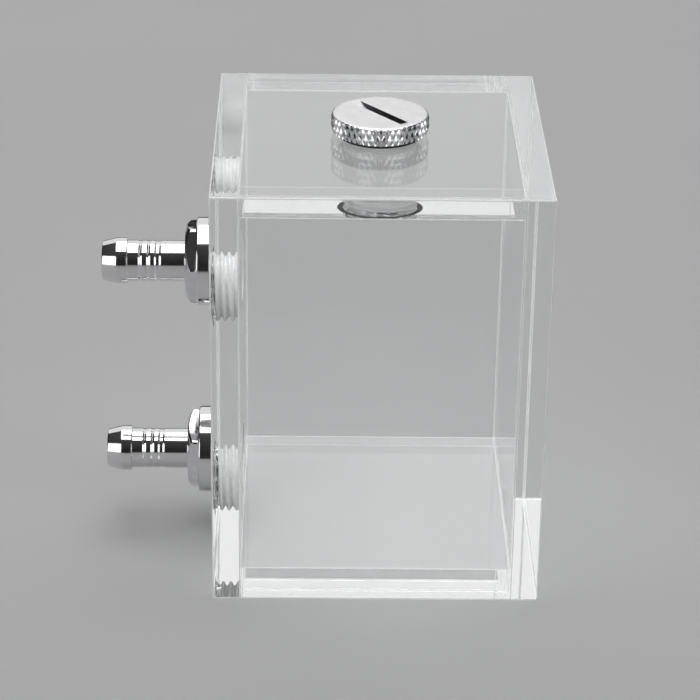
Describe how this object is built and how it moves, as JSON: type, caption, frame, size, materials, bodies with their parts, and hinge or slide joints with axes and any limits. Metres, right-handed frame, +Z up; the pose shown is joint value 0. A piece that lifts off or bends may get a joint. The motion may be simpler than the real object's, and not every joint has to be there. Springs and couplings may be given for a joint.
{
  "type": "water cooling reservoir",
  "caption": "Clear acrylic coolant reservoir glued from flat sheets, with chromed hose barbs screwed into one side and a knurled, slotted fill plug screwed into the top.",
  "frame": {"origin": "middle of the underside of the tank", "axes": "+Z up, -Y the front, -X out of the side with the hose barbs"},
  "size_m": [0.081, 0.062, 0.084],
  "materials": {
    "clear_acrylic": "gloss",
    "chromed_brass": "polished",
    "seal_rubber": "matte"
  },
  "bodies": {
    "tank": {"left_wall": "clear_acrylic", "right_wall": "clear_acrylic", "front_wall": "clear_acrylic", "back_wall": "clear_acrylic", "top_plate": "clear_acrylic", "bottom_plate": "clear_acrylic"},
    "plug_seal": {"fill_plug_o_ring": "seal_rubber"},
    "plug": {"fill_plug": "chromed_brass"},
    "upper_seal": {"upper_fitting_o_ring": "seal_rubber"},
    "upper_fitting": {"upper_barb_fitting": "chromed_brass"},
    "lower_seal": {"lower_fitting_o_ring": "seal_rubber"},
    "lower_fitting": {"lower_barb_fitting": "chromed_brass"}
  },
  "joints": [
    {"name": "plug_rise", "type": "slide", "parent": "tank", "child": "plug_seal", "axis": [0, 0, 1], "range_m": [0, 0.0046]},
    {"name": "plug_turn", "type": "hinge", "parent": "plug_seal", "child": "plug", "pos_m": [0, 0, 0.08], "axis": [0, 0, 1], "range_deg": [0, 1238]},
    {"name": "upper_fitting_draw", "type": "slide", "parent": "tank", "child": "upper_seal", "axis": [-1, 0, 0], "range_m": [0, 0.0046]},
    {"name": "upper_fitting_turn", "type": "hinge", "parent": "upper_seal", "child": "upper_fitting", "pos_m": [-0.03, 0, 0.0542], "axis": [-1, 0, 0], "range_deg": [0, 1238]},
    {"name": "lower_fitting_draw", "type": "slide", "parent": "tank", "child": "lower_seal", "axis": [-1, 0, 0], "range_m": [0, 0.0046]},
    {"name": "lower_fitting_turn", "type": "hinge", "parent": "lower_seal", "child": "lower_fitting", "pos_m": [-0.03, 0, 0.0148], "axis": [-1, 0, 0], "range_deg": [0, 1238]}
  ],
  "couplings": [
    {"joint": "plug_rise", "follows": "plug_turn", "m_per_rad": 0.00021279},
    {"joint": "upper_fitting_draw", "follows": "upper_fitting_turn", "m_per_rad": 0.00021279},
    {"joint": "lower_fitting_draw", "follows": "lower_fitting_turn", "m_per_rad": 0.00021279}
  ]
}
